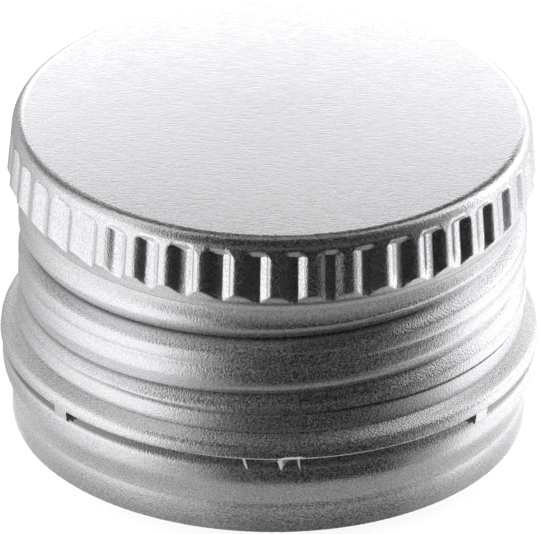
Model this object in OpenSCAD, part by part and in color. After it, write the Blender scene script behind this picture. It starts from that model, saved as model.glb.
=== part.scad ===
// Roll-on aluminium screw cap for a 28 mm bottle neck, with its tamper band and its sealing liner.
// The cap stands on its open rim. The origin is on the axis at the rim, +Z points up to the closed
// top, and -Y is the front. Heights are stacked from the rim, so a taller zone lifts what is above it.

/* [Sheet] */
// Thickness of the aluminium sheet
sheet = 0.22; // [0.16:0.01:0.26]

/* [Tamper band] */
// Outer radius of the straight wall at the open rim
rim_r = 13.45; // [13.3:0.05:13.6]
// Height of the straight wall at the open rim
rim_h = 1.6; // [1:0.1:3]
// Height of the curve from the straight wall out to the widest part of the band
band_curve_h = 1.85; // [1:0.05:3]
// Outer radius of the widest part of the band
band_r = 13.98; // [13.7:0.02:14.04]
// Height of the widest part of the band
band_h = 0.6; // [0.4:0.05:1.5]
// Height of the band's lip, which is pressed in under the skirt
lip_h = 0.42; // [0.35:0.01:0.6]
// Distance by which the lip leans in
lip_lean = 0.26; // [0.2:0.02:0.4]

/* [Slit and bridges] */
// Height of the slit between the tip of the lip and the edge of the skirt
slit_h = 0.23; // [0.15:0.01:0.6]
// Number of bridges that hold the tamper band
bridge_count = 7; // [4:1:12]
// Width of one bridge
bridge_w = 0.95; // [0.5:0.05:1.5]
// Width of the hole in the lip on each side of a bridge
hole_w = 0.6; // [0.3:0.05:1.2]
// Turn of the first bridge from the front, in degrees
bridge_turn = 1; // [-20:1:20]

/* [Skirt] */
// Outer radius of the skirt
skirt_r = 14.1; // [14.06:0.02:14.4]
// Height of the straight part of the skirt
skirt_h = 0.35; // [0.3:0.05:1]
// Radius of the rounded shoulder on top of the skirt
shoulder_r = 0.45; // [0.35:0.05:0.6]
// Height of the slope from the shoulder in to the threaded wall
slope_h = 0.4; // [0.3:0.05:1.5]

/* [Thread] */
// Outer radius of the crest between the turns of the rolled groove
thread_r = 13.28; // [13.2:0.02:13.4]
// Height of the threaded wall
thread_h = 6.4; // [6.2:0.1:8]
// Rise of the thread in one turn
thread_pitch = 3.175; // [3.125:0.025:3.3]
// Depth of the rolled groove at its corner
groove_depth = 0.6; // [0.3:0.02:0.7]
// Height of the groove's steep flank, above its corner
steep_flank_h = 1.15; // [0.9:0.05:1.2]
// Height of the groove's long flank, below its corner
long_flank_h = 1.75; // [1.5:0.05:1.8]
// Height of the groove's lower end above the foot of the threaded wall
groove_start_h = 0.65; // [0.5:0.05:0.8]
// Turn of the groove's lower end from the front, in degrees
groove_turn = -145; // [-180:5:180]
// Turn from the groove's lower end to its upper end, in degrees
groove_sweep = 580; // [400:20:600]
// Turn over which the groove fades out at each end, in degrees
groove_fade = 60; // [30:5:90]

/* [Neck] */
// Outer radius of the neck, the crease under the knurled band
neck_r = 13.06; // [12.9:0.02:13.16]
// Height of the taper from the threaded wall in to the neck
neck_h = 0.6; // [0.4:0.05:1.5]
// Height of the rounded step from the neck out to the knurled band
step_h = 0.8; // [0.5:0.05:1.5]

/* [Knurled band] */
// Outer radius at the bottom of the knurled band
knurl_bottom_r = 13.76; // [13.6:0.02:14]
// Outer radius at the top of the knurled band
knurl_top_r = 13.55; // [13.4:0.02:13.8]
// Height of the knurled band
knurl_h = 2.82; // [2.6:0.1:6]
// Number of pressed flutes round the band
flute_count = 44; // [24:1:50]
// Width of one flute
flute_w = 1.15; // [0.6:0.05:1.2]
// Depth of one flute
flute_depth = 0.3; // [0.15:0.05:0.35]
// Plain height of the band above each flute
flute_top_gap = 0.1; // [0.05:0.05:0.5]
// Height by which each flute reaches down into the step
flute_reach = 0.1; // [0:0.05:0.2]
// Height of the tapered end of a flute
flute_end = 0.3; // [0.1:0.05:0.5]
// Turn of the first flute from the front, in degrees
flute_turn = -3.2; // [-5:0.1:5]

/* [Top] */
// Radius of the rounded corner round the closed top
corner_r = 0.72; // [0.5:0.02:1.2]

/* [Liner] */
// Thickness of the sealing liner
liner_t = 1.5; // [1:0.1:2]
// Gap between the liner and the pressed-in flutes
liner_gap = 0.1; // [0.05:0.05:0.3]
// Chamfer round both faces of the liner
liner_chamfer = 0.25; // [0.1:0.05:0.4]

/* [Hidden] */

$fn = 120;
front = -90;        // angle of the front, measured from +X
over = 1;           // how far a cutter runs past the sheet
arc_steps = 6;      // straight pieces in each curve of the section
groove_steps = 48;  // steps of the groove in one turn
flank_steps = 5;    // straight pieces in each flank of the groove
long_bend = 1.6;    // how hollow the groove's long flank is, 1 is straight
steep_bend = 2.1;   // how hollow the groove's steep flank is, 1 is straight
lift = 0.06;        // how far the groove stands off the wall where it has faded out
edge = 0.1;         // plain wall kept between the groove and each end of the threaded wall
weld = 0.2;         // how far a bridge runs into the sheet above and below the slit
bite = 0.25;        // how far the groove's boss stands back in the wall, in thicknesses of the sheet
boss_end = 1.3;     // height of a flute's boss at its ends, in thicknesses of the sheet
score = 0.02;       // how much each face of a bridge lies under that of the sheet

// Heights of the zones, from the rim up
bend_z = rim_h + band_curve_h + band_h;
tip_z = bend_z + lip_h;
skirt_z = tip_z + slit_h;
shoulder_z = skirt_z + skirt_h;
thread_z = shoulder_z + shoulder_r + slope_h;
thread_top_z = thread_z + thread_h;
neck_z = thread_top_z + neck_h;
knurl_z = neck_z + step_h;
corner_z = knurl_z + knurl_h;
cap_h = corner_z + corner_r;

// Points of an arc about c, with radii rx and ry, from angle a to angle b
function arc(c, rx, ry, a, b) = [for (i = [0:arc_steps]) let (t = a + (b - a) * i / arc_steps)
    c + [rx * cos(t), ry * sin(t)]];

// Points of a smooth S-curve from p up to q
function s_curve(p, q) = [for (i = [0:arc_steps]) let (t = i / arc_steps)
    [p.x + (q.x - p.x) * (1 - cos(180 * t)) / 2, p.y + (q.y - p.y) * t]];

// A line of points moved by d to the left of its own direction
function unit(v) = v / norm(v);
function left(v) = [-v.y, v.x];
function moved(line, d) =
    let (
        last = len(line) - 1,
        side = [for (i = [0:last - 1]) left(unit(line[i + 1] - line[i]))]
    )
    [for (i = [0:last])
        let (a = side[max(i - 1, 0)], b = side[min(i, last - 1)])
        line[i] + d * (a + b) / (1 + a * b)];
function reversed(line) = [for (i = [len(line) - 1:-1:0]) line[i]];

// Outer outline of the tamper band as [radius, height], from the rim up to the tip of its lip
band_outline = concat(
    [[rim_r, 0]],
    s_curve([rim_r, rim_h], [band_r, rim_h + band_curve_h]),
    [[band_r, bend_z], [band_r - lip_lean, tip_z]]
);

// Outer outline of the threaded part, from the edge of the skirt up to the top of the threaded wall
thread_outline = concat(
    [[skirt_r, skirt_z]],
    arc([skirt_r - shoulder_r, shoulder_z], shoulder_r, shoulder_r, 0, 60),
    [[thread_r, thread_z], [thread_r, thread_top_z]]
);

// Outer outline of the knurled part, from the top of the threaded wall up to the middle of the top
knurl_outline = concat(
    [[thread_r, thread_top_z]],
    arc([neck_r, knurl_z], knurl_bottom_r - neck_r, step_h, -90, 0),
    arc([knurl_top_r - corner_r, corner_z], corner_r, corner_r, 0, 90),
    [[0, cap_h]]
);

// The sheet along an outline, as thick as it is moved to its left
module rolled_sheet(line) {
    rotate_extrude() polygon(concat(line, reversed(moved(line, sheet))));
}

// One flute as a spindle that leans with the wall of the knurled band. At no thickness it is the
// cutter. With one it is the boss that carries the flute inside the wall.
module flute(thick) {
    lean = atan2(knurl_bottom_r - knurl_top_r, knurl_h);
    r = (flute_depth + pow(flute_w / 2, 2) / flute_depth) / 2;
    axis_gap = r - flute_depth;
    top = corner_z - flute_top_gap;
    bottom = knurl_z - flute_reach;
    wall_r = knurl_bottom_r - (bottom - knurl_z) * tan(lean);
    length = (top - bottom) / cos(lean);
    end_r = axis_gap + boss_end * thick;
    translate([wall_r + axis_gap, 0, bottom])
        rotate([0, -lean, 0])
            rotate_extrude()
                polygon([
                    [0, 0], [end_r, 0], [r + thick, flute_end], [r + thick, length - flute_end],
                    [end_r, length], [0, length]
                ]);
}

module flutes(thick) {
    for (i = [0:flute_count - 1])
        rotate([0, 0, front + flute_turn + i * 360 / flute_count]) flute(thick);
}

// The groove's outer surface in the plane of the axis, as [radius, height], from below its corner up
function groove_line(turn) =
    let (
        fade = min(1, turn / groove_fade, (groove_sweep - turn) / groove_fade),
        depth = (groove_depth + lift) * fade * (2 - fade),
        z = thread_z + groove_start_h + thread_pitch * turn / 360,
        low = min(long_flank_h, z - thread_z - edge),
        high = min(steep_flank_h, thread_top_z - z - edge)
    )
    concat(
        [for (i = [flank_steps:-1:1]) let (t = i / flank_steps)
            [thread_r + lift - depth * pow(1 - t, long_bend), z - low * t]],
        [for (i = [0:flank_steps]) let (t = i / flank_steps)
            [thread_r + lift - depth * pow(1 - t, steep_bend), z + high * t]]
    );

// A solid swept along the groove, between the groove's surface moved in by the sheet and outer_r
module groove(thick, outer_r) {
    count = round(groove_steps * groove_sweep / 360);
    turns = [for (i = [0:count]) groove_sweep * i / count];
    outlines = [for (turn = turns) let (line = moved(groove_line(turn), thick), n = len(line) - 1)
        concat([[outer_r, line[0].y]], line, [[outer_r, line[n].y]])];
    n = len(outlines[0]);
    points = [for (i = [0:count], p = outlines[i]) [p.x * cos(turns[i]), p.x * sin(turns[i]), p.y]];
    skin = [for (i = [0:count - 1], k = [0:n - 1]) let (
            a = i * n + k, b = i * n + (k + 1) % n, c = a + n, d = b + n
        ) each [[a, c, b], [b, c, d]]];
    foot = [for (k = [1:n - 2]) [0, k, k + 1]];
    head = [for (k = [1:n - 2]) [for (v = [0, k + 1, k]) count * n + v]];
    rotate([0, 0, front + groove_turn])
        polyhedron(points = points, faces = concat(skin, foot, head), convexity = 10);
}

// A sector of a ring with the given section, w wide at the slit and centred on the turn
module sector(turn, w) {
    angle = 360 * w / (2 * PI * band_r);
    rotate([0, 0, front + turn - angle / 2]) rotate_extrude(angle = angle) children();
}

module threaded_part() {
    difference() {
        union() {
            rolled_sheet(thread_outline);
            groove(sheet, thread_r - bite * sheet);
        }
        groove(0, thread_r + over);
    }
}

module knurled_part() {
    difference() {
        union() {
            rolled_sheet(knurl_outline);
            intersection() {
                rotate_extrude() polygon(concat([[0, thread_top_z]], moved(knurl_outline, sheet / 2)));
                flutes(sheet);
            }
        }
        flutes(0);
    }
}

module band() {
    difference() {
        rolled_sheet(band_outline);
        for (i = [0:bridge_count - 1])
            sector(bridge_turn + i * 360 / bridge_count, bridge_w + 2 * hole_w)
                translate([band_r - over, bend_z + score]) square([2 * over, skirt_z - bend_z]);
    }
}

module bridge(i) {
    line = [
        [band_r - score, bend_z - weld], [band_r - score, bend_z],
        [skirt_r - score, skirt_z], [skirt_r - score, skirt_z + weld]
    ];
    sector(bridge_turn + i * 360 / bridge_count, bridge_w)
        polygon(concat(line, reversed(moved(line, sheet - 2 * score))));
}

module cap_shell() {
    color("silver") {
        band();
        for (i = [0:bridge_count - 1]) bridge(i);
        threaded_part();
        knurled_part();
    }
}

module liner() {
    r = knurl_top_r - flute_depth - sheet - liner_gap;
    inner_top_z = cap_h - sheet;
    color("whitesmoke") translate([0, 0, inner_top_z - liner_t]) rotate_extrude()
        polygon([
            [0, 0], [r - liner_chamfer, 0], [r, liner_chamfer], [r, liner_t - liner_chamfer],
            [r - liner_chamfer, liner_t], [0, liner_t]
        ]);
}

cap_shell();
liner();
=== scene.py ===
"""Finished look of a roll-on aluminium screw cap: sheet, rolled thread, knurl, band and stage."""

import math

import bpy
from bpy.props import FloatProperty, FloatVectorProperty, IntProperty, PointerProperty
from mathutils import Matrix, Vector


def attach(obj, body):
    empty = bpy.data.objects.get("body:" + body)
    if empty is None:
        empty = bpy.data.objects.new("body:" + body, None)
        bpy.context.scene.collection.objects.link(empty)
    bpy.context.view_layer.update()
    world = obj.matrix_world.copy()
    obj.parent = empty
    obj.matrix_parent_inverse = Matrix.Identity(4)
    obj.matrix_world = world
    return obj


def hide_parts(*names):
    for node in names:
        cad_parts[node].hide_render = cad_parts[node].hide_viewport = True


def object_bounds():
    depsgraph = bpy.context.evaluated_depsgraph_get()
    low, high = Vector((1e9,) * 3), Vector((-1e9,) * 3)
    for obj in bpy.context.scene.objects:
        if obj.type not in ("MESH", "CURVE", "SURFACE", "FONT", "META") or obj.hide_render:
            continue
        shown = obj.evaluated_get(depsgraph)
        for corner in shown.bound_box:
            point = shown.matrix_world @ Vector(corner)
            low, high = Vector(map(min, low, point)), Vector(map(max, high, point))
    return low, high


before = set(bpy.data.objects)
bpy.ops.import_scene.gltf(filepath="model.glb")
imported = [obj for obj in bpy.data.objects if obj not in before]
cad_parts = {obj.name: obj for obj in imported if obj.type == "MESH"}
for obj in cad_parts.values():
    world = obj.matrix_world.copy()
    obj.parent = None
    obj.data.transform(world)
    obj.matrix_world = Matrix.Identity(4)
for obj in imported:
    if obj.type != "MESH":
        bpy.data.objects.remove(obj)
CAD_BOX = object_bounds()

bl_info = {
    "name": "Roll-on screw cap",
    "version": (1, 0, 0),
    "blender": (4, 5, 0),
    "location": "3D View > Sidebar > Screw Cap",
    "description": "Makes an aluminium screw cap with a rolled thread, a knurl and a tamper band",
    "category": "Add Mesh",
}

MM = 0.001


# Sizes and colours


def length(name, text, mm):
    """A length with its default in millimetres."""
    return FloatProperty(
        name=name, description=text, default=mm * MM, min=0.0, unit="LENGTH", precision=5
    )


def turn(name, text, degrees):
    """An angle with its default in degrees."""
    return FloatProperty(
        name=name, description=text, default=math.radians(degrees), subtype="ANGLE"
    )


def share(name, text, value):
    """A number from 0 to 1."""
    return FloatProperty(
        name=name, description=text, default=value, min=0.0, max=1.0, subtype="FACTOR"
    )


def tint(name, text, value):
    """A colour."""
    return FloatVectorProperty(
        name=name, description=text, default=value, min=0.0, max=1.0, size=3, subtype="COLOR"
    )


class KnurlSizes(bpy.types.PropertyGroup):
    """Knurled band and closed top."""

    neck_r: length("Neck radius", "Outer radius of the crease under the knurled band", 13.05)
    neck_z: length("Neck height", "Height of the crease under the knurled band", 12.9)
    bottom_r: length("Bottom radius", "Outer radius at the bottom of the knurled band", 13.76)
    bottom_z: length("Bottom height", "Height of the bottom of the knurled band", 13.72)
    top_r: length("Top radius", "Outer radius at the top of the knurled band", 13.55)
    corner: length("Corner radius", "Radius of the rounded corner round the top", 0.72)
    flutes: IntProperty(
        name="Flutes", description="Number of pressed flutes round the band", default=44, min=8
    )
    flute_w: length("Flute width", "Width of one flute", 1.17)
    flute_d: length("Flute depth", "Depth of one flute", 0.27)
    flute_turn: turn("Flute turn", "Turn of the first flute from the front", -3.2)


class ThreadSizes(bpy.types.PropertyGroup):
    """Skirt, rolled thread and neck."""

    skirt_r: length("Skirt radius", "Outer radius of the skirt", 14.1)
    skirt_z: length("Skirt height", "Height of the skirt's cut edge", 4.7)
    shoulder: length("Shoulder radius", "Radius of the rounded shoulder on the skirt", 0.45)
    foot_z: length("Thread foot", "Height of the crease where the threaded wall starts", 5.8)
    ridge_r: length("Ridge radius", "Outer radius of the ridges", 13.28)
    pitch: length("Thread pitch", "Rise of the thread in one turn", 3.175)
    corner_z: length("Groove height", "Height of the lower groove's corner at the front", 7.83)
    depth: length("Groove depth", "Depth of the rolled groove where it is deepest", 0.72)


class BandSizes(bpy.types.PropertyGroup):
    """Tamper band and its bridges."""

    rim_r: length("Rim radius", "Outer radius at the open rim", 13.45)
    rim_h: length("Rim height", "Height of the straight wall at the open rim", 1.6)
    band_r: length("Band radius", "Outer radius of the widest part of the band", 13.98)
    bend_z: length("Bend height", "Height of the bend into the lip", 4.05)
    lip_z: length("Lip height", "Height of the tip of the lip", 4.48)
    lip_r: length("Lip radius", "Outer radius at the tip of the lip", 13.72)
    bridges: IntProperty(
        name="Bridges", description="Number of bridges between band and skirt", default=7, min=3
    )
    bridge_turn: turn("Bridge turn", "Turn of the first bridge from the front", 1.0)


class FinishSettings(bpy.types.PropertyGroup):
    """Sheet and finishes."""

    sheet: length("Sheet thickness", "Thickness of the aluminium sheet", 0.22)
    metal: tint("Aluminium", "Colour of the bare aluminium", (0.88, 0.885, 0.895))
    liner: tint("Liner", "Colour of the sealing liner", (0.86, 0.855, 0.83))
    side_rough: share("Side roughness", "Roughness of the satin side wall", 0.28)
    knurl_rough: share("Knurl roughness", "Roughness of the knurled band", 0.17)
    top_rough: share("Top roughness", "Roughness of the brushed top", 0.34)


class StageSettings(bpy.types.PropertyGroup):
    """Floor, lights and camera."""

    floor: tint("Floor", "Colour of the floor", (0.86, 0.86, 0.86))
    elevation: turn("Camera elevation", "Height of the camera above the horizon", 28.936)
    roll: turn("Camera roll", "Roll of the camera", 0.7935)
    distance: length("Camera distance", "Distance from the camera to the middle of the cap", 671.0)


# Working by hand


def clear_selection():
    """Leaves nothing selected, so that an operator acts only on what comes next."""
    if bpy.context.object and bpy.context.object.mode != "OBJECT":
        bpy.ops.object.mode_set(mode="OBJECT")
    bpy.ops.object.select_all(action="DESELECT")


def pick(piece):
    """Selects one piece alone and makes it the active one."""
    clear_selection()
    piece.select_set(True)
    bpy.context.view_layer.objects.active = piece


def named(name):
    """Names the new primitive and puts its place into its mesh."""
    piece = bpy.context.object
    piece.name = piece.data.name = name
    bpy.ops.object.transform_apply(location=True, rotation=True, scale=True)
    return piece


def turned(name, rows, columns):
    """A ring drawn up from a circle: each row (radius, height) is extruded from the last."""
    clear_selection()
    r, z = rows[0]
    bpy.ops.mesh.primitive_circle_add(
        vertices=columns, radius=r, location=(0, 0, z), rotation=(0, 0, -math.pi / 2)
    )
    piece = named(name)
    bpy.ops.object.mode_set(mode="EDIT")
    bpy.ops.mesh.select_mode(type="VERT")
    bpy.ops.mesh.select_all(action="SELECT")
    for (ra, za), (rb, zb) in zip(rows, rows[1:]):
        bpy.ops.mesh.extrude_region_move(TRANSFORM_OT_translate={"value": (0, 0, zb - za)})
        k = rb / ra
        bpy.ops.transform.resize(value=(k, k, 1), center_override=(0, 0, zb))
    bpy.ops.object.mode_set(mode="OBJECT")
    return piece


def face_out(piece):
    """Merges doubles and turns every face outwards."""
    pick(piece)
    bpy.ops.object.mode_set(mode="EDIT")
    bpy.ops.mesh.select_all(action="SELECT")
    bpy.ops.mesh.remove_doubles(threshold=0.000001)
    bpy.ops.mesh.normals_make_consistent(inside=False)
    bpy.ops.object.mode_set(mode="OBJECT")
    out = sum(
        p.area * (p.normal.x * p.center.x + p.normal.y * p.center.y) for p in piece.data.polygons
    )
    if out < 0:
        bpy.ops.object.mode_set(mode="EDIT")
        bpy.ops.mesh.flip_normals()
        bpy.ops.object.mode_set(mode="OBJECT")


def cut_out(piece, unwanted):
    """Deletes the faces that are unwanted."""
    pick(piece)
    bpy.ops.object.mode_set(mode="EDIT")
    bpy.ops.mesh.select_mode(type="FACE")
    bpy.ops.mesh.select_all(action="DESELECT")
    bpy.ops.object.mode_set(mode="OBJECT")
    chosen = [p.index for p in piece.data.polygons if unwanted(p)]
    for i in chosen:
        piece.data.polygons[i].select = True
    bpy.ops.object.mode_set(mode="EDIT")
    bpy.ops.mesh.delete(type="FACE")
    bpy.ops.object.mode_set(mode="OBJECT")


def thicken(piece, sheet):
    """Gives the outer skin the thickness of the sheet, inwards."""
    pick(piece)
    wall = piece.modifiers.new("Sheet", "SOLIDIFY")
    wall.thickness = sheet
    wall.offset = -1
    bpy.ops.object.modifier_apply(modifier=wall.name)
    bpy.ops.object.shade_smooth_by_angle(angle=math.radians(50))


def azimuth(co):
    """Turn from the front in degrees, to the right positive."""
    return math.degrees(math.atan2(co.x, -co.y))


def on_turn(radius, degrees, height):
    """Point at that turn from the front."""
    a = math.radians(degrees)
    return Vector((radius * math.sin(a), -radius * math.cos(a), height))


def ease(t):
    """Smooth step from 0 to 1."""
    t = min(1.0, max(0.0, t))
    return t * t * (3 - 2 * t)


def window(x, rise, rise_w, fall, fall_w):
    """1 between rise and fall, and 0 outside, with a smooth step of its own width at each end."""
    return ease((x - rise) / rise_w) * (1 - ease((x - fall) / fall_w))


def tent(x, half):
    """1 where x is 0, falling evenly to 0 at half a width to each side."""
    return max(0.0, 1 - abs(x) / half)


def curve(points, x):
    """Smooth line through the points at x."""
    if x <= points[0][0]:
        return points[0][1]
    for (xa, ya), (xb, yb) in zip(points, points[1:]):
        if x <= xb:
            return ya + (yb - ya) * ease((x - xa) / (xb - xa))
    return points[-1][1]


def arc(cx, cz, rx, rz, a, b, steps):
    """Rows along an arc from angle a to angle b, the first left out."""
    return [
        (
            cx + rx * math.cos(math.radians(a + (b - a) * i / steps)),
            cz + rz * math.sin(math.radians(a + (b - a) * i / steps)),
        )
        for i in range(1, steps + 1)
    ]


def mark(piece, name, value):
    """A named value on each point: one number for all, or a function of the point."""
    layer = piece.data.attributes.new(name, "FLOAT", "POINT")
    for v in piece.data.vertices:
        layer.data[v.index].value = value(v.co) if callable(value) else value


def mark_metal(piece, brushed=0.0, polished=0.0, painted_shade=0.0, matt=0.0):
    """The four values that the aluminium's finish reads; the third is painted shade, which darkens
    the colour.
    """
    mark(piece, "brushed", brushed)
    mark(piece, "polished", polished)
    mark(piece, "painted_shade", painted_shade)
    mark(piece, "matt", matt)


# The knurled top


# Half a flute in mm, and the depth to which its slopes draw it
FLUTE_HALF = 0.974
FLUTE_DRAWN = 0.27 * MM
# (mm from the middle of the flute, slope in degrees)
FLUTE_SLOPES = (
    (-FLUTE_HALF, 0), (-0.90, 5), (-0.82, 11), (-0.74, 16), (-0.66, 20), (-0.50, 25), (-0.45, 26),
    (-0.41, 26), (-0.37, 26), (-0.28, 25), (-0.22, 22), (-0.16, 14), (-0.08, 8), (0.02, 5),
    (0.12, 3), (0.20, 0), (0.25, -10), (0.29, -27), (0.34, -33), (0.46, -34), (0.56, -34),
    (0.63, -33), (0.69, -29), (0.75, -24), (0.81, -16), (0.87, -8), (0.93, -3), (FLUTE_HALF, 0),
)
# Middle, half width and height in mm of the flat part of a flute's sloping end
ROOF_MIDDLE, ROOF_HALF, ROOF_Z = -0.025, 0.325, 2.84
# Where the cone under the band ends, in from its bottom radius and up from its bottom height
CONE_IN, CONE_UP = 0.06 * MM, 0.28 * MM
CONE_SHARES = (
    0.06, 0.13, 0.22, 0.33, 0.44, 0.5, 0.56, 0.62, 0.67, 0.73, 0.79, 0.85, 0.91, 0.96, 1.0
)
# Where the band's leaning wall starts, up from its bottom height, and its rows in mm from there
WALL_UP = 0.40 * MM
WALL_HEIGHTS = (0.9, 1.8, 1.98, 2.04, 2.1, 2.16, 2.22, 2.28, 2.34)
# (mm above the bottom of the band, dullness) on the cone under it
CONE_MATT = (
    (-0.82, 0.42), (-0.74, 0.3), (-0.62, 0.5), (-0.46, 0.34), (-0.36, 0.12), (-0.2, 0.12),
    (-0.1, 0.3), (0.05, 0.36), (0.42, 0.0),
)


def flute_section():
    """The flute as (mm from its middle, depth in mm), drawn from its slopes in degrees."""
    line = [(FLUTE_SLOPES[0][0], 0.0)]
    for (xa, a), (xb, b) in zip(FLUTE_SLOPES, FLUTE_SLOPES[1:]):
        line.append((xb, line[-1][1] + (xb - xa) * math.tan(math.radians((a + b) / 2))))
    start, width, rest = line[0][0], line[-1][0] - line[0][0], line[-1][1]
    return [(x, d - rest * (x - start) / width) for x, d in line[:-1]]


FLUTE = flute_section()


def knurl_rows(s):
    """Rows of the plain knurled top, from the neck up to the edge of the flat top."""
    top = CAD_BOX[1].z
    low = s.bottom_z + WALL_UP
    foot_r, foot_z = s.bottom_r - CONE_IN, s.bottom_z + CONE_UP
    rows = [(s.neck_r, s.neck_z), (s.neck_r + 0.02 * MM, s.neck_z + 0.02 * MM)]
    r, z = rows[-1]
    for t in CONE_SHARES:
        rows.append((r + (foot_r - r) * t, z + (foot_z - z) * t))
    rows += arc(foot_r, low, s.bottom_r - foot_r, low - foot_z, -80, 0, 3)
    lean = s.bottom_r - s.top_r
    corner_z = top - s.corner
    for h in WALL_HEIGHTS:
        t = h * MM / (corner_z - low)
        rows.append((s.bottom_r - lean * t, low + h * MM))
    flat = s.top_r - s.corner
    rows += arc(flat, corner_z, s.corner, s.corner, 0, 90, 10)
    rows.append((flat * 0.985, top))
    return rows


def across_flute(co, s):
    """Distance in mm from the middle of the nearest flute."""
    pitch = 2 * math.pi / s.flutes
    a = (math.atan2(co.x, -co.y) - s.flute_turn) / pitch
    return (a - round(a)) * pitch * s.bottom_r / MM


def flute_depth(x):
    """Depth in mm at x mm from the middle of a flute."""
    for (xa, da), (xb, db) in zip(FLUTE, FLUTE[1:] + [(FLUTE_HALF, 0.0)]):
        if x <= xb:
            return da + (db - da) * (x - xa) / (xb - xa)
    return 0.0


def roof_depth(x, z, s):
    """Depth in mm that the sloping end of a flute leaves at that height."""
    side = max(0.0, abs(x - ROOF_MIDDLE) - ROOF_HALF)
    return 0.8 * ((s.bottom_z - z) / MM + ROOF_Z - 1.6 * side ** 2)


def pressed_depth(x, s):
    """Depth in mm at x mm from the middle of a flute, at the depth that is set."""
    return flute_depth(x) * s.flute_d / FLUTE_DRAWN


def smooth_least(a, b, round_off):
    """The lesser of two values, with the corner between them rounded off."""
    t = min(1.0, max(0.0, 0.5 + 0.5 * (b - a) / round_off))
    return b + (a - b) * t - round_off * t * (1 - t)


def press_flutes(piece, s):
    """Presses the flutes into the knurled band, with a column at each bend of the flute."""
    pitch = 2 * math.pi / s.flutes
    lean = (s.bottom_r - s.top_r) / (CAD_BOX[1].z - s.corner - s.bottom_z - WALL_UP)
    for v in piece.data.vertices:
        r = math.hypot(v.co.x, v.co.y)
        if r < 0.1 * MM:
            continue
        k, place = divmod(round(math.atan2(v.co.x, -v.co.y) / pitch * len(FLUTE)), len(FLUTE))
        x = FLUTE[place][0]
        a = s.flute_turn + k * pitch + x * MM / s.bottom_r
        wall = s.bottom_r - max(0.0, v.co.z - s.bottom_z - WALL_UP) * lean
        depth = smooth_least(pressed_depth(x, s), roof_depth(x, v.co.z, s), 0.05)
        if depth > 0:
            r = min(r, max(wall - depth * MM, r - depth * MM))
        v.co.x = r * math.sin(a)
        v.co.y = -r * math.cos(a)


def matt_of_knurl(co, s):
    """Duller under the band and on the roof of each flute, where the tool leaves the sheet."""
    height = (co.z - s.bottom_z) / MM
    if height < 0.42:
        up = (co.z - s.neck_z) / (s.bottom_z + CONE_UP - s.neck_z)
        cone = s.neck_r + (s.bottom_r - CONE_IN - s.neck_r) * up
        outside = math.hypot(co.x, co.y) > cone - 0.02 * MM
        return curve(CONE_MATT, height) if outside else 0.0
    x = across_flute(co, s)
    if 0.01 < roof_depth(x, co.z, s) < pressed_depth(x, s) - 0.012:
        return 0.42 * window(x, -0.32, 0.12, 0.3, 0.1)
    return 0.0


def polish_of_knurl(co, s):
    """Shiny where the tool pressed, a little duller on the lands and the corner."""
    height = (co.z - s.bottom_z) / MM
    depth = flute_depth(across_flute(co, s))
    pressed = ease((depth - 0.03) / 0.1) * (1 - ease((height - 2.6) / 0.25))
    return (0.6 + 0.4 * pressed) * (0.5 + 0.5 * ease((height - 0.1) / 0.3))


def painted_shade_of_knurl(co, s):
    """Painted shade: a thin dark line along one edge of the tool's mark, the right edge on the
    flutes at the left and front and the left edge on those at the right, and a darker streak under
    the band in front.
    """
    x, degrees = across_flute(co, s), azimuth(co)
    height = (co.z - s.bottom_z) / MM
    if height < 0.3:
        return 0.4 * window(degrees, -20, 14, 55, 20) * tent(height + 0.27, 0.16)
    if height > 2.65:
        return 0.0
    right = (1 - ease((degrees - 2) / 10)) * tent(x - 0.64, 0.06)
    left = ease((degrees - 24) / 8) * tent(x + 0.41, 0.05)
    return 0.75 * max(right, left)


class CAP_OT_knurled_top(bpy.types.Operator):
    """Draws up the knurled band and the closed top, and presses its flutes"""

    bl_idname = "screw_cap.knurled_top"
    bl_label = "Knurled top"

    def execute(self, context):
        s = context.scene.cap_knurl
        f = context.scene.cap_finish
        piece = turned("knurled_top", knurl_rows(s), s.flutes * len(FLUTE))
        pick(piece)
        bpy.ops.object.mode_set(mode="EDIT")
        bpy.ops.mesh.merge(type="CENTER")
        bpy.ops.object.mode_set(mode="OBJECT")
        press_flutes(piece, s)
        face_out(piece)
        thicken(piece, f.sheet)
        flat = s.top_r - s.corner
        mark_metal(
            piece,
            brushed=lambda co: ease((flat + 0.05 * MM - math.hypot(co.x, co.y)) / (0.1 * MM)),
            polished=lambda co: polish_of_knurl(co, s),
            painted_shade=lambda co: painted_shade_of_knurl(co, s),
            matt=lambda co: matt_of_knurl(co, s),
        )
        finish_piece(piece, "cap_shell", metal_finish(f))
        return {"FINISHED"}


# The threaded wall


WALL_COLUMNS = 480
# Heights in mm where the wall starts to draw in to the neck, and of the neck's top
NECK_START, NECK_TOP = 12.15, 12.9
# Depth in mm that the neck is drawn in
NECK_IN = 0.21
# Height in mm of the faint line on each ridge above the groove's corner
RIDGE_LINE = 1.82
# Reach in mm of the groove below and above its corner
GROOVE_BELOW, GROOVE_ABOVE = 0.56, 0.98
# (turn of the helix in degrees, share of the groove's depth); 0 is the front of the lower turn
GROOVE_DEPTHS = (
    (-178, 0.0), (-110, 0.42), (0, 0.66), (200, 0.86), (360, 1.0), (440, 0.98), (515, 0.0)
)
# The low crease under the lower ridge, by turn in degrees: its height in mm, its depth in mm,
# and the share by which the wall swells above it
CREASE_HEIGHTS = (
    (-180, 6.05), (-120, 6.2), (-60, 6.74), (-35, 6.83), (0, 6.86), (30, 6.98), (64, 7.02),
    (76, 7.26), (100, 7.05), (150, 6.3), (180, 6.05),
)
CREASE_DEPTHS = (
    (-110, 0.0), (-60, 0.03), (-30, 0.06), (0, 0.05), (30, 0.16), (52, 0.24), (70, 0.22), (90, 0.0)
)
CREASE_SWELLING = ((10, 0.0), (35, 1.0), (72, 1.0), (95, 0.0))
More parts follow.
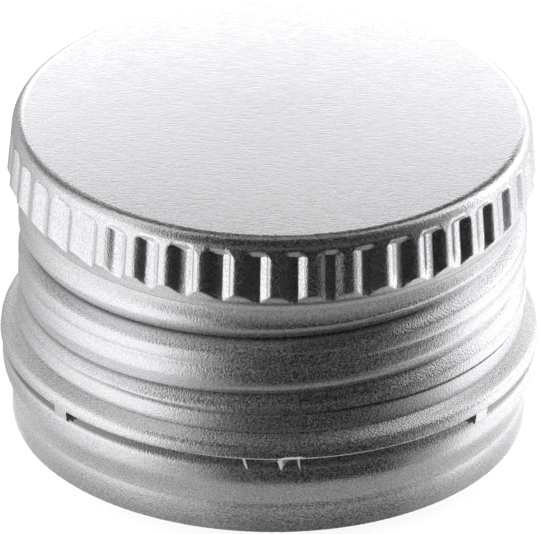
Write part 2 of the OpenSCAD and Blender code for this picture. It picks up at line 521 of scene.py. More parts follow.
# Where the crease ends, in mm below and above its line, and its rows
CREASE_BELOW, CREASE_ABOVE = 0.12, 0.2
CREASE_ROWS = (-CREASE_BELOW, -0.05, 0.0, 0.05, 0.12, CREASE_ABOVE)
FOOT_SHARES = (0.05, 0.3, 0.55, 0.78, 0.92)
# Rows of one turn of the helix in mm above the groove's corner, drawn for this pitch
PHASE_PITCH = 3.175
PHASES = (
    0.0, 0.06, 0.14, 0.28, 0.45, 0.62, 0.79, 0.92, 1.0, 1.15, 1.34, 1.5, 1.62, 1.73, 1.82, 1.91,
    2.02, 2.14, 2.3, 2.48, 2.6, 2.7, 2.82, 2.94, 3.04, 3.115,
)
# (turn in degrees, height in mm) of the pale burr on the skirt's cut edge
BURR_HEIGHTS = ((-20, 0.05), (2, 0.06), (5, 0.12), (9, 0.05), (40, 0.04))


def groove_section(up):
    """Share of the groove's depth at a height in mm from its corner, below or above it."""
    reach = -up / GROOVE_BELOW if up < 0 else up / GROOVE_ABOVE
    return (1 - min(1.0, reach)) ** 1.2


def turns_of_helix(degrees, z, s):
    """For each turn that may reach this place: its degrees, and the mm up from its corner."""
    for n in (-1, 0, 1):
        helix = degrees + 360 * n
        yield helix, z - s.corner_z / MM - s.pitch / MM * helix / 360


def thread_radius(degrees, z, s):
    """Radius in mm of the threaded wall at that turn and height, in mm."""
    leaning = 0.10 * math.sin(math.radians(degrees))
    r = s.ridge_r / MM + leaning * ease((z - 5.9) / 1.5) * (1 - ease((z - 12.2) / 0.6))
    r -= NECK_IN * ease((z - NECK_START) / 0.7) ** 0.8
    for helix, up in turns_of_helix(degrees, z, s):
        deep = curve(GROOVE_DEPTHS, helix)
        if deep <= 0:
            continue
        r -= s.depth / MM * deep * groove_section(up)
        r -= 0.05 * deep * tent(up, 0.06)
        if z < 12.0:
            r -= 0.10 * deep * tent(up - RIDGE_LINE, 0.32) ** 1.5
    above = z - curve(CREASE_HEIGHTS, degrees)
    r -= curve(CREASE_DEPTHS, degrees) * tent(above, 0.12)
    if above > 0:
        r += 0.13 * curve(CREASE_SWELLING, degrees) * tent(above, 0.8)
    return r


def thread_rows(s):
    """Every row as (kind, value): the skirt's fixed rows, those up to the crease and the helix."""
    skirt, shoulder, z = s.skirt_r / MM - 0.04, s.shoulder / MM, s.skirt_z / MM
    shoulder_z = z + 0.36
    fixed = [
        (skirt - 0.03, z), (skirt + 0.02, z + 0.005), (skirt + 0.04, z + 0.035),
        (skirt + 0.03, z + 0.065), (skirt, z + 0.085), (skirt, z + 0.15), (skirt, shoulder_z),
    ]
    fixed += arc(skirt - shoulder, shoulder_z, shoulder, shoulder, 0, 52, 5)
    r, h = fixed[-1]
    foot, ridge, pitch = s.foot_z / MM, s.ridge_r / MM, s.pitch / MM
    fixed += [(r + (ridge + 0.03 - r) * t, h + (foot - 0.05 - h) * t) for t in (0.5, 1.0)]
    fixed += [(ridge - 0.035, foot)]
    rows = [("fixed", p) for p in fixed]
    rows += [("foot", t) for t in FOOT_SHARES]
    rows += [("crease", up) for up in CREASE_ROWS]
    for n in range(-3, 4):
        start = s.corner_z / MM
        rows += [("helix", start + p / PHASE_PITCH * pitch + n * pitch) for p in PHASES]
    return rows


def thread_point(degrees, row, s):
    """Place of one point of the wall."""
    kind, value = row
    if kind == "fixed":
        r, z = value
    else:
        low, foot = curve(CREASE_HEIGHTS, degrees), s.foot_z / MM
        if kind == "foot":
            z = foot + (low - CREASE_BELOW - foot) * value
        elif kind == "crease":
            z = low + value
        else:
            z = min(NECK_TOP, max(low + CREASE_ABOVE, value + s.pitch / MM * degrees / 360))
        r = thread_radius(degrees, z, s)
    return on_turn(r * MM, degrees, z * MM)


def painted_shade_of_thread(co, s):
    """Painted shade: darker in the corner of the groove, on its lower flank in front and in the
    creases.
    """
    degrees, z = azimuth(co), co.z / MM
    crease = min(1.0, curve(CREASE_DEPTHS, degrees) / 0.12)
    painted_shade = 0.95 * crease * tent(z - curve(CREASE_HEIGHTS, degrees), 0.16)
    painted_shade = max(painted_shade, 0.4 * tent(z - s.foot_z / MM, 0.06))
    for helix, up in turns_of_helix(degrees, z, s):
        fades = curve(GROOVE_DEPTHS, helix) * (1 - ease((degrees - 34) / 14))
        painted_shade = max(painted_shade, 0.85 * fades * tent(up + 0.02, 0.15))
        if 0 < degrees < 34 and z < NECK_TOP:
            front = ease(degrees / 10) * ease((34 - degrees) / 10)
            painted_shade = max(painted_shade, 0.6 * front * ease(1 - abs(up + 0.28) / 0.32))
    return min(1.0, painted_shade)


def matt_of_thread(co, s):
    """Duller on the neck, under the ridges in front, at the skirt's sides and on its burr."""
    if co.z > 12 * MM:
        return 0.34 * ease((co.z / MM - 12.1) / 0.7)
    degrees = azimuth(co)
    if co.z > s.foot_z:
        turns = (co.z - s.corner_z - s.pitch * degrees / 360) / s.pitch
        whole = max(0, math.floor(turns))
        up = (turns - whole) * s.pitch / MM
        middle = 0.5 + 0.22 * (degrees + 360 * whole) / 360
        return 0.4 * window(degrees, -22, 14, 34, 14) * ease(1 - abs(up - middle) / 0.22)
    if co.z > s.skirt_z + 0.7 * MM:
        return 0.45 * (ease((-12 - degrees) / 12) + ease((degrees - 38) / 12))
    if math.hypot(co.x, co.y) < s.skirt_r - 0.06 * MM:
        return 0.0
    return 1.0 if co.z < s.skirt_z + curve(BURR_HEIGHTS, degrees) * MM else 0.0


class CAP_OT_threaded_wall(bpy.types.Operator):
    """Rolls the skirt, the threaded wall and the neck from a flat sheet"""

    bl_idname = "screw_cap.threaded_wall"
    bl_label = "Threaded wall"

    def execute(self, context):
        s = context.scene.cap_thread
        f = context.scene.cap_finish
        rows = thread_rows(s)
        clear_selection()
        bpy.ops.mesh.primitive_grid_add(
            x_subdivisions=WALL_COLUMNS, y_subdivisions=len(rows) - 1, size=2, location=(0, 0, 0)
        )
        piece = named("threaded_wall")
        for v in piece.data.vertices:
            column = round((v.co.x + 1) / 2 * WALL_COLUMNS)
            row = round((v.co.y + 1) / 2 * (len(rows) - 1))
            v.co = thread_point(-180 + 360 * column / WALL_COLUMNS, rows[row], s)
        face_out(piece)
        thicken(piece, f.sheet)
        mark_metal(
            piece,
            painted_shade=lambda co: painted_shade_of_thread(co, s),
            matt=lambda co: matt_of_thread(co, s),
        )
        finish_piece(piece, "cap_shell", metal_finish(f))
        return {"FINISHED"}


# The tamper band and its bridges


BAND_COLUMNS = 80  # for each bridge
CURVE_STEPS = 10


def band_rows(s):
    """Rows of the band, from the rim up to the tip of the lip."""
    rim, band, bend = s.rim_r, s.band_r, s.bend_z
    rows = [
        (rim, 0.0), (rim, 0.05 * MM), (rim, 0.6 * MM), (rim, 1.2 * MM),
        (rim, s.rim_h - 0.06 * MM), (rim - 0.012 * MM, s.rim_h), (rim, s.rim_h + 0.06 * MM),
    ]
    top = bend - 0.6 * MM
    for i in range(1, CURVE_STEPS + 1):
        t = i / CURVE_STEPS
        out = (1 - math.cos(math.pi * t)) / 2
        rows.append((rim + (band - rim) * out, s.rim_h + (top - s.rim_h) * t))
    rows += [
        (band, bend - 0.3 * MM), (band, bend - 0.07 * MM),
        (band - 0.01 * MM, bend - 0.02 * MM), (band - 0.035 * MM, bend + 0.03 * MM),
    ]
    rows += [(band + (s.lip_r - band) * t, bend + (s.lip_z - bend) * t) for t in (0.35, 0.7, 1.0)]
    return rows


def painted_shade_of_lip(co, s):
    """Painted shade under the skirt: darker on the lip, most of all at the left of the front."""
    degrees = azimuth(co)
    left = window(degrees, -85, 20, -27, 15)
    right = ease((degrees - 42) / 12)
    return (0.45 + 0.3 * left + 0.15 * right) * ease((co.z - s.bend_z) / (0.12 * MM))


def matt_of_band(co, s):
    """Duller where the band curves out from the straight wall."""
    return 0.4 * window(co.z, s.rim_h, 0.25 * MM, 2.7 * MM, 0.7 * MM)


class CAP_OT_tamper_band(bpy.types.Operator):
    """Draws up the tamper band and cuts the holes beside each bridge out of its lip"""

    bl_idname = "screw_cap.tamper_band"
    bl_label = "Tamper band"

    def execute(self, context):
        s = context.scene.cap_band
        f = context.scene.cap_finish
        columns = s.bridges * BAND_COLUMNS
        piece = turned("tamper_band", band_rows(s), columns)
        piece.data.transform(Matrix.Rotation(s.bridge_turn, 4, "Z"))
        step = 360 / s.bridges

        def beside_bridge(p):
            """A hole that narrows downwards, on the side of each bridge that faces the front."""
            a = azimuth(p.center) - math.degrees(s.bridge_turn)
            k = round(a / step)
            if k == 0 or p.center.z < s.bend_z + 0.03 * MM:
                return False
            off = (a - step * k) * (-1 if k > 0 else 1) / (360 / columns)
            high = (p.center.z - s.bend_z) / (s.lip_z - s.bend_z)
            return 3 < off < 3.4 + 4.2 * high

        cut_out(piece, beside_bridge)
        face_out(piece)
        thicken(piece, f.sheet)
        mark_metal(
            piece, painted_shade=lambda co: painted_shade_of_lip(co, s), matt=lambda co: matt_of_band(co, s)
        )
        finish_piece(piece, "cap_shell", metal_finish(f))
        return {"FINISHED"}


def strip(name, corners, sheet):
    """A small piece of sheet through rows of (turn, radius, height) pairs, left and right."""
    clear_selection()
    rows = len(corners) - 1
    bpy.ops.mesh.primitive_grid_add(
        x_subdivisions=4, y_subdivisions=rows, size=2, location=(0, 0, 0)
    )
    piece = named(name)
    for v in piece.data.vertices:
        t = (v.co.x + 1) / 2
        left, right = corners[round((v.co.y + 1) / 2 * rows)]
        a, r, z = (left[k] + (right[k] - left[k]) * t for k in range(3))
        v.co = on_turn(r * MM, a, z * MM)
    face_out(piece)
    thicken(piece, sheet)
    return piece


def torn_slivers(top, low):
    """Each sliver as (dullness, pairs), between the skirt's edge and the bend, heights in mm."""
    middle = (top + low) / 2
    return (
        (0.9, (
            ((-5.6, 13.86, top), (-5.0, 14.06, top)),
            ((-5.2, 13.86, middle), (-4.6, 14.05, middle)),
            ((-4.7, 13.92, low), (-4.3, 14.0, low)),
        )),
        (0.9, (
            ((1.6, 13.86, top), (3.2, 14.09, top)),
            ((2.2, 13.88, middle), (3.1, 14.08, middle)),
            ((2.8, 13.97, low - 0.03), (2.95, 14.0, low - 0.03)),
        )),
        (0.25, (
            ((3.2, 14.09, top), (5.4, 13.98, top)),
            ((3.1, 14.08, middle + 0.1), (4.0, 13.98, middle + 0.12)),
            ((2.95, 14.0, low), (3.1, 13.99, low)),
        )),
        (0.7, (
            ((6.3, 13.9, top), (6.6, 14.05, top)),
            ((6.4, 13.9, middle), (6.7, 14.03, middle)),
            ((6.7, 13.93, low + 0.05), (6.85, 13.98, low + 0.05)),
        )),
    )


BRIDGE_HALF = 1.93  # half the width of a bridge in degrees
BRIDGE_SHEET = 0.8  # thickness of a bridge as a share of the sheet
FRONT_SUNK = 0.12  # how far in, in mm, the front bridge is pressed
SLIVER_SHEET = 0.05 * MM


class CAP_OT_bridges(bpy.types.Operator):
    """Makes the bridges that hold the tamper band, and the torn slivers at the front one"""

    bl_idname = "screw_cap.bridges"
    bl_label = "Bridges"

    def execute(self, context):
        s = context.scene.cap_band
        f = context.scene.cap_finish
        wall = context.scene.cap_thread
        band, bend = s.band_r / MM, s.bend_z / MM
        skirt, edge = wall.skirt_r / MM, wall.skirt_z / MM
        made = []
        for i in range(s.bridges):
            a = math.degrees(s.bridge_turn) + 360 / s.bridges * i
            sunk = FRONT_SUNK if i == 0 else 0.0
            rows = [
                (band - 0.03, bend - 0.15), (band - 0.03, bend + 0.02),
                (band - 0.02 - sunk, bend + 0.2), (band + 0.02 - sunk, bend + 0.42),
                (skirt - 0.12, edge), (skirt - 0.12, edge + 0.15),
            ]
            corners = [((a - BRIDGE_HALF, r, z), (a + BRIDGE_HALF, r, z)) for r, z in rows]
            made.append(strip(f"bridge_{i}", corners, f.sheet * BRIDGE_SHEET))
            mark(made[-1], "matt", 0.0)
        for i, (dull, corners) in enumerate(torn_slivers(edge + 0.03, bend)):
            made.append(strip(f"torn_{i}", corners[::-1], SLIVER_SHEET))
            mark(made[-1], "matt", dull)
        clear_selection()
        for piece in made:
            piece.select_set(True)
        bpy.context.view_layer.objects.active = made[0]
        bpy.ops.object.join()
        piece = named("bridges")
        mark(piece, "brushed", 0.0)
        mark(piece, "polished", 0.6)
        mark(piece, "painted_shade", 0.0)
        finish_piece(piece, "cap_shell", metal_finish(f))
        return {"FINISHED"}


# Finishes


GRAIN_HEIGHT = 0.05 * MM
# Shares of the metal's colour in the dark and the pale grain, and where shade is painted on
DARK_GRAIN, PALE_GRAIN, PAINTED_SHADE_SHARE = 0.8, 1.12, 0.12


def finish_piece(piece, node, material):
    """Gives a piece its finish, the CAD solid it stands for and the body it rides on."""
    piece.data.materials.clear()
    piece.data.materials.append(material)
    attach(piece, "root")
    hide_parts(node)


def new_finish(name):
    """An empty material with its shader."""
    material = bpy.data.materials.new(name)
    material.use_nodes = True
    nodes, links = material.node_tree.nodes, material.node_tree.links
    return material, nodes, links, nodes["Principled BSDF"]


def grain(nodes, links, coords, scale, stretch=(1, 1, 1), detail=2.0):
    """Noise on the object's own coordinates, stretched where it is asked."""
    place = nodes.new("ShaderNodeMapping")
    place.inputs["Scale"].default_value = stretch
    noise = nodes.new("ShaderNodeTexNoise")
    noise.inputs["Scale"].default_value = scale
    noise.inputs["Detail"].default_value = detail
    links.new(coords.outputs["Object"], place.inputs["Vector"])
    links.new(place.outputs["Vector"], noise.inputs["Vector"])
    return noise.outputs["Fac"]


def ramp(nodes, links, value, low, high, out_low, out_high):
    """Value from low to high made out_low to out_high."""
    node = nodes.new("ShaderNodeMapRange")
    node.inputs["From Min"].default_value = low
    node.inputs["From Max"].default_value = high
    node.inputs["To Min"].default_value = out_low
    node.inputs["To Max"].default_value = out_high
    links.new(value, node.inputs["Value"])
    return node.outputs["Result"]


def spread(nodes, links, noise, out_low, out_high):
    """The noise's usual range, 0.3 to 0.7, made out_low to out_high."""
    return ramp(nodes, links, noise, 0.3, 0.7, out_low, out_high)


def scaled(nodes, links, value, top):
    """0 to 1 made 0 to top."""
    return ramp(nodes, links, value, 0.0, 1.0, 0.0, top)


def blend(nodes, links, share_of, first, second):
    """First where the share is 0, second where it is 1."""
    node = nodes.new("ShaderNodeMix")
    node.data_type = "FLOAT"
    links.new(share_of, node.inputs[0])
    for value, socket in ((first, node.inputs[2]), (second, node.inputs[3])):
        if isinstance(value, (int, float)):
            socket.default_value = value
        else:
            links.new(value, socket)
    return node.outputs[0]


def bump(nodes, links, height, strength, distance):
    """Bump from a height."""
    node = nodes.new("ShaderNodeBump")
    node.inputs["Strength"].default_value = strength
    node.inputs["Distance"].default_value = distance
    links.new(height, node.inputs["Height"])
    return node.outputs["Normal"]


def metal_finish(f):
    """Bare aluminium: satin on the wall, shiny on the knurl and brushed along X on the top."""
    if "Rolled aluminium" in bpy.data.materials:
        return bpy.data.materials["Rolled aluminium"]
    material, nodes, links, shader = new_finish("Rolled aluminium")
    coords = nodes.new("ShaderNodeTexCoord")
    marks = {}
    for name in ("brushed", "polished", "painted_shade", "matt"):
        node = nodes.new("ShaderNodeAttribute")
        node.attribute_name = name
        marks[name] = node.outputs["Fac"]
    speckle = grain(nodes, links, coords, 11000, detail=1)
    cloud = grain(nodes, links, coords, 900)
    brush = grain(nodes, links, coords, 5200, (0.42, 1.7, 1), detail=1.5)
    worn = blend(nodes, links, marks["brushed"], speckle, brush)
    colour = nodes.new("ShaderNodeMix")
    colour.data_type = "RGBA"
    colour.inputs[6].default_value = (*(c * DARK_GRAIN for c in f.metal), 1)
    colour.inputs[7].default_value = (*(min(1.0, c * PALE_GRAIN) for c in f.metal), 1)
    links.new(spread(nodes, links, worn, 0.0, 1.0), colour.inputs[0])
    # Painted shade: the colour darkens to a small share of the metal's where the shade mark is
    # set.
    painted_shade_mix = nodes.new("ShaderNodeMix")
    painted_shade_mix.data_type = "RGBA"
    painted_shade_mix.inputs[7].default_value = (*(c * PAINTED_SHADE_SHARE for c in f.metal), 1)
    links.new(marks["painted_shade"], painted_shade_mix.inputs[0])
    links.new(colour.outputs[2], painted_shade_mix.inputs[6])
    links.new(painted_shade_mix.outputs[2], shader.inputs["Base Color"])
    lit = nodes.new("ShaderNodeMath")
    lit.operation = "POWER"
    links.new(ramp(nodes, links, speckle, 0.28, 0.72, 0.0, 1.0), lit.inputs[0])
    lit.inputs[1].default_value = 1.8
    flecks = ramp(nodes, links, lit.outputs[0], 0.0, 1.0, 1.0, 0.86)
    few = ramp(nodes, links, lit.outputs[0], 0.0, 1.0, 1.0, 0.97)
    bare = blend(nodes, links, marks["polished"], flecks, few)
    links.new(blend(nodes, links, marks["matt"], bare, 0.0), shader.inputs["Metallic"])
    side = spread(nodes, links, speckle, f.side_rough - 0.08, f.side_rough + 0.08)
    shiny = spread(nodes, links, cloud, f.knurl_rough - 0.05, f.knurl_rough + 0.06)
    top = spread(nodes, links, brush, f.top_rough - 0.12, f.top_rough + 0.14)
    rough = blend(nodes, links, marks["polished"], side, shiny)
    rough = blend(nodes, links, marks["brushed"], rough, top)
    links.new(rough, shader.inputs["Roughness"])
    faint = scaled(nodes, links, speckle, 0.22)
    satin = scaled(nodes, links, speckle, 0.6)
    relief = blend(nodes, links, marks["polished"], satin, faint)
    lines = scaled(nodes, links, brush, 0.26)
    relief = blend(nodes, links, marks["brushed"], relief, lines)
    links.new(bump(nodes, links, relief, 0.8, GRAIN_HEIGHT), shader.inputs["Normal"])
    return material


def liner_finish(f):
    """Foamed liner: matt, with fine pores and a faint mottle."""
    material, nodes, links, shader = new_finish("Foamed liner")
    coords = nodes.new("ShaderNodeTexCoord")
    pores = grain(nodes, links, coords, 6500)
    mottle = grain(nodes, links, coords, 400, detail=3)
    colour = nodes.new("ShaderNodeValToRGB")
    colour.color_ramp.elements[0].position = 0.3
    colour.color_ramp.elements[1].position = 0.7
    colour.color_ramp.elements[0].color = (*(c * 0.93 for c in f.liner), 1)
    colour.color_ramp.elements[1].color = (*f.liner, 1)
    links.new(mottle, colour.inputs["Fac"])
    links.new(colour.outputs["Color"], shader.inputs["Base Color"])
    links.new(spread(nodes, links, pores, 0.5, 0.68), shader.inputs["Roughness"])
    links.new(bump(nodes, links, pores, 0.4, GRAIN_HEIGHT), shader.inputs["Normal"])
    return material


class CAP_OT_liner(bpy.types.Operator):
    """Gives the sealing liner its foamed finish"""

    bl_idname = "screw_cap.liner"
    bl_label = "Liner"

    def execute(self, context):
        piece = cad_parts["liner"]
        material = liner_finish(context.scene.cap_finish)
        piece.data.materials.clear()
        piece.data.materials.append(material)
        return {"FINISHED"}


# The stage


def seen_share(nodes, links):
    """1 where a camera, glossy or transmission ray looks at it, else 0."""
    path = nodes.new("ShaderNodeLightPath")
    first = nodes.new("ShaderNodeMath")
    first.operation = "MAXIMUM"
    links.new(path.outputs["Is Camera Ray"], first.inputs[0])
    links.new(path.outputs["Is Glossy Ray"], first.inputs[1])
    second = nodes.new("ShaderNodeMath")
    second.operation = "MAXIMUM"
    links.new(first.outputs[0], second.inputs[0])
    links.new(path.outputs["Is Transmission Ray"], second.inputs[1])
    return second.outputs[0]


def floor_finish(colour, unseen, seen):
    """Matt ground, open from below; unseen is its glow on other things, seen its own."""
    material, nodes, links, shader = new_finish("Floor")
    shader.inputs["Base Color"].default_value = (*colour, 1)
    shader.inputs["Roughness"].default_value = 1.0
    shader.inputs["Specular IOR Level"].default_value = 0.0
    shader.inputs["Emission Color"].default_value = (1, 1, 1, 1)
    level = ramp(nodes, links, seen_share(nodes, links), 0.0, 1.0, unseen, seen)
    links.new(level, shader.inputs["Emission Strength"])
    side = nodes.new("ShaderNodeNewGeometry")
    clear = nodes.new("ShaderNodeBsdfTransparent")
    mix = nodes.new("ShaderNodeMixShader")
    links.new(side.outputs["Backfacing"], mix.inputs[0])
    links.new(shader.outputs[0], mix.inputs[1])
    links.new(clear.outputs[0], mix.inputs[2])
    links.new(mix.outputs[0], nodes["Material Output"].inputs["Surface"])
    return material


def card_finish():
    """Even grey light, as bright as the card's own value says."""
    if "Card" in bpy.data.materials:
        return bpy.data.materials["Card"]
    material, nodes, links, shader = new_finish("Card")
    shader.inputs["Base Color"].default_value = (0, 0, 0, 1)
    shader.inputs["Specular IOR Level"].default_value = 0.0
    shader.inputs["Emission Color"].default_value = (1, 0.992, 1.012, 1)
    glow = nodes.new("ShaderNodeAttribute")
    glow.attribute_name = "glow"
    links.new(glow.outputs["Fac"], shader.inputs["Emission Strength"])
    return material


def card(name, turns, rows, levels):
    """A card that the wall mirrors between two turns, seen only in reflections.

    Rows are (distance from the wall, height, share of the level), levels (turn, brightness).
    """
    clear_selection()
    columns = max(4, round((turns[1] - turns[0]) / 2))
    bpy.ops.mesh.primitive_grid_add(
        x_subdivisions=columns, y_subdivisions=len(rows) - 1, size=2, location=(0, 0, 0)
    )
    piece = named(name)
    layer = piece.data.attributes.new("glow", "FLOAT", "POINT")
    for v in piece.data.vertices:
        a = turns[0] + (turns[1] - turns[0]) * (v.co.x + 1) / 2
        away, height, part = rows[round((v.co.y + 1) / 2 * (len(rows) - 1))]
        v.co = on_turn(MIRROR_R, a, height) + on_turn(away, 2 * a, 0)
        layer.data[v.index].value = part * curve(levels, a)
    piece.data.materials.append(card_finish())
    for ray in ("visible_camera", "visible_diffuse", "visible_shadow", "visible_transmission"):
        setattr(piece, ray, False)


def softbox(name, place, power):
    """A soft light, out of the camera's sight, that faces the cap."""
    clear_selection()
    bpy.ops.object.light_add(type="AREA", location=place)
    lamp = bpy.context.object
    lamp.name = name
    lamp.data.shape = "RECTANGLE"
    lamp.data.size, lamp.data.size_y = SOFTBOX_SIZE
    lamp.data.energy = power
    towards = Vector(SOFTBOX_TARGET) - Vector(place)
    lamp.rotation_euler = towards.to_track_quat("-Z", "Y").to_euler()
    lamp.visible_camera = False


# Radius of the wall that the cards are set out from, and the heights and distance they share
MIRROR_R = 13.6 * MM
SHADE_DISC_Z, GROUND_Z, FAR = 0.00003, 0.0003, 0.48
# (name, turns, rows, levels), from the cap's foot outwards, then up and over to the back
CARDS = (
    ("foot_card", (-110, 110), (
        (-0.0004, SHADE_DISC_Z, 1), (0.0007, SHADE_DISC_Z, 1),
    ), (
        (-110, 0.6), (-80, 0.7), (-65, 0.52), (-50, 0.38), (-30, 0.3), (-15, 0.22), (0, 0.1),
        (15, 0.08), (28, 0.12), (38, 0.25), (48, 0.4), (58, 0.5), (68, 0.68), (80, 0.95),
    )),
    ("near_card", (-110, 110), (
        (0.0007, SHADE_DISC_Z, 1), (0.0022, SHADE_DISC_Z, 1),
    ), (
        (-110, 0.8), (-80, 0.58), (-65, 0.46), (-50, 0.4), (-30, 0.38), (-18, 0.26), (-5, 0.07),
        (5, 0.03), (20, 0.03), (28, 0.05), (38, 0.22), (48, 0.42), (60, 0.58), (80, 0.85),
    )),
    ("low_card", (-90, 90), (
        (0.0022, GROUND_Z, 1), (0.009, GROUND_Z, 1),
    ), (
        (-90, 0.48), (-65, 0.5), (-55, 0.6), (-45, 0.78), (-32, 0.82), (-18, 0.38), (-6, 0.04),
        (8, 0.015), (24, 0.02), (38, 0.34), (49, 1.1), (90, 1.2),
    )),
    ("floor_card", (-90, 90), (
        (0.009, GROUND_Z, 1), (0.018, GROUND_Z, 1),
    ), (
        (-90, 0.48), (-75, 0.46), (-62, 0.62), (-48, 1.05), (-28, 1.2), (-18, 0.38), (-8, 0.03),
        (8, 0.015), (24, 0.02), (41, 0.28), (52, 1.3), (90, 1.3),
    )),
    ("far_card", (-90, 90), (
        (0.018, GROUND_Z, 1), (0.03, GROUND_Z, 0.82), (FAR, GROUND_Z, 0.82),
    ), (
        (-90, 0.48), (-75, 0.5), (-62, 0.75), (-48, 1.2), (-22, 1.25), (-12, 0.05), (0, 0.02),
        (8, 0.02), (32, 0.03), (39, 0.38), (47, 1.35), (62, 1.2), (90, 0.95),
    )),
    ("side_card", (-80, 80), (
        (FAR, GROUND_Z, 0.85), (FAR, 0.1, 1), (FAR, 0.2, 1),
    ), (
        (-80, 0.42), (-60, 0.62), (-48, 1.0), (-32, 1.1), (-20, 0.3), (-10, 0.08), (8, 0.06),
        (32, 0.06), (43, 0.3), (53, 1.5), (80, 1.2),
    )),
    ("upper_card", (-80, 80), (
        (FAR, 0.2, 1), (0.46, 0.24, 1),
    ), (
        (-80, 0.34), (-62, 0.4), (-50, 0.7), (-36, 0.95), (-24, 0.2), (-14, 0.03), (8, 0.02),
        (32, 0.02), (44, 0.2), (54, 1.45), (64, 1.4), (80, 1.0),
    )),
    ("crown_card", (-80, 80), (
        (0.46, 0.24, 1), (0.42, 0.36, 1), (0.36, 0.4, 0.9), (0.3, 0.44, 0.8),
    ), (
        (-80, 0.3), (-70, 0.15), (-63, 0.15), (-56, 0.55), (-46, 0.75), (-36, 0.75), (-24, 0.15),
        (-14, 0.02), (8, 0.02), (32, 0.02), (44, 0.2), (53, 1.3), (60, 1.25), (67, 0.08),
        (80, 0.05),
    )),
    ("high_card", (-90, 90), (
        (0.3, 0.44, 1), (0.15, 0.52, 0.6), (0.01, 0.54, 0),
    ), (
        (-90, 0.02), (-65, 0.05), (-58, 0.8), (-50, 1.15), (-42, 0.9), (-33, 0.2), (-24, 0.02),
        (44, 0.02), (50, 0.3), (55, 1.1), (59, 1.0), (66, 0.05), (90, 0.02),
    )),
    ("back_card", (80, 100), (
        (0.6, GROUND_Z, 0.9), (0.6, 0.2, 1), (0.58, 0.3, 1.0), (0.57, 0.36, 0.6),
        (0.55, 0.42, 0.1), (0.28, 0.6, 0.0),
    ), (
        (80, 1.58), (100, 1.58),
    )),
)


FLOOR_Z, SHADE_DISC_R = -0.00002, 0.01315
# (name, place, power) of the soft lights, their size and the point that they face
SOFTBOXES = (
    ("left_softbox", (-0.55, -0.15, 0.35), 0.6),
    ("right_softbox", (0.55, 0.05, 0.30), 0.8),
)
SOFTBOX_SIZE, SOFTBOX_TARGET = (0.5, 0.6), (0, 0, 0.01)
# Focal length for a 36 mm sensor, and the point in the middle of the picture
LENS, CAMERA_TARGET = 855.05, (-0.000009, 0, 0.008255)


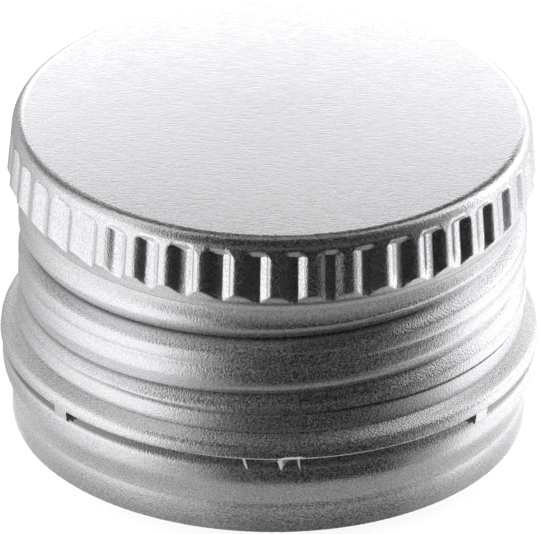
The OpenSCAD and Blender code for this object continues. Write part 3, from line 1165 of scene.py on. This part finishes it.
class CAP_OT_stage(bpy.types.Operator):
    """Sets the floor, the cards, the soft lights, the pale surround and the camera"""

    bl_idname = "screw_cap.stage"
    bl_label = "Stage"

    def execute(self, context):
        s = context.scene.cap_stage
        clear_selection()
        bpy.ops.mesh.primitive_plane_add(size=6, location=(0, 0, FLOOR_Z))
        floor = named("floor")
        floor.data.materials.append(floor_finish(s.floor, unseen=0.0, seen=0.55))
        # Painted shade: a disc under the cap, nearly black to the camera and in reflections so
        # that the holes look into shade, and glowing at 0.7 for other rays to light the inside.
        bpy.ops.mesh.primitive_circle_add(
            vertices=96, radius=SHADE_DISC_R, fill_type="NGON", location=(0, 0, SHADE_DISC_Z)
        )
        under = named("painted_shade_disc")
        under.data.materials.append(floor_finish((0.01, 0.01, 0.01), unseen=0.7, seen=0.05))
        for name, turns, rows, levels in CARDS:
            card(name, turns, rows, levels)
        for name, place, power in SOFTBOXES:
            softbox(name, place, power)
        self.surround(context)
        self.camera(context, s)
        return {"FINISHED"}

    def surround(self, context):
        """A pale world that reads as white behind the cap."""
        world = bpy.data.worlds.new("Pale surround")
        world.use_nodes = True
        nodes, links = world.node_tree.nodes, world.node_tree.links
        shader = nodes["Background"]
        shader.inputs["Color"].default_value = (1, 1, 1, 1)
        level = nodes.new("ShaderNodeMapRange")
        level.inputs["To Min"].default_value = 0.55
        level.inputs["To Max"].default_value = 1.0
        links.new(seen_share(nodes, links), level.inputs["Value"])
        links.new(level.outputs["Result"], shader.inputs["Strength"])
        context.scene.world = world

    def camera(self, context, s):
        """The camera at the front, a little above the cap."""
        clear_selection()
        bpy.ops.object.camera_add()
        camera = bpy.context.object
        camera.name = "camera"
        camera.data.sensor_width = 36
        camera.data.lens = LENS
        camera.data.clip_start, camera.data.clip_end = 0.05, 10
        back = Vector((0, -math.cos(s.elevation), math.sin(s.elevation)))
        camera.location = Vector(CAMERA_TARGET) + back * s.distance
        look = (-back).to_track_quat("-Z", "Y").to_matrix().to_4x4()
        camera.rotation_euler = (look @ Matrix.Rotation(s.roll, 4, "Z")).to_euler()
        context.scene.camera = camera
        context.scene.view_settings.view_transform = "Standard"


class CAP_PT_panel(bpy.types.Panel):
    """The cap's pieces and sizes"""

    bl_idname = "CAP_PT_panel"
    bl_label = "Screw cap"
    bl_space_type = "VIEW_3D"
    bl_region_type = "UI"
    bl_category = "Screw Cap"

    def draw(self, context):
        for operator, settings in STEPS:
            box = self.layout.box()
            box.operator(operator.bl_idname)
            group = getattr(context.scene, settings)
            for name in group.__annotations__:
                box.prop(group, name)


STEPS = (
    (CAP_OT_knurled_top, "cap_knurl"),
    (CAP_OT_threaded_wall, "cap_thread"),
    (CAP_OT_tamper_band, "cap_band"),
    (CAP_OT_bridges, "cap_band"),
    (CAP_OT_liner, "cap_finish"),
    (CAP_OT_stage, "cap_stage"),
)
SETTINGS = {
    "cap_knurl": KnurlSizes,
    "cap_thread": ThreadSizes,
    "cap_band": BandSizes,
    "cap_finish": FinishSettings,
    "cap_stage": StageSettings,
}


def register():
    for settings in SETTINGS.values():
        bpy.utils.register_class(settings)
    for operator, _ in STEPS:
        bpy.utils.register_class(operator)
    bpy.utils.register_class(CAP_PT_panel)
    for name, settings in SETTINGS.items():
        setattr(bpy.types.Scene, name, PointerProperty(type=settings))


def unregister():
    for name in SETTINGS:
        delattr(bpy.types.Scene, name)
    bpy.utils.unregister_class(CAP_PT_panel)
    for operator, _ in reversed(STEPS):
        bpy.utils.unregister_class(operator)
    for settings in reversed(list(SETTINGS.values())):
        bpy.utils.unregister_class(settings)


def main():
    register()
    bpy.ops.screw_cap.knurled_top()
    bpy.ops.screw_cap.threaded_wall()
    bpy.ops.screw_cap.tamper_band()
    bpy.ops.screw_cap.bridges()
    bpy.ops.screw_cap.liner()
    bpy.ops.screw_cap.stage()


if __name__ == "__main__":
    main()
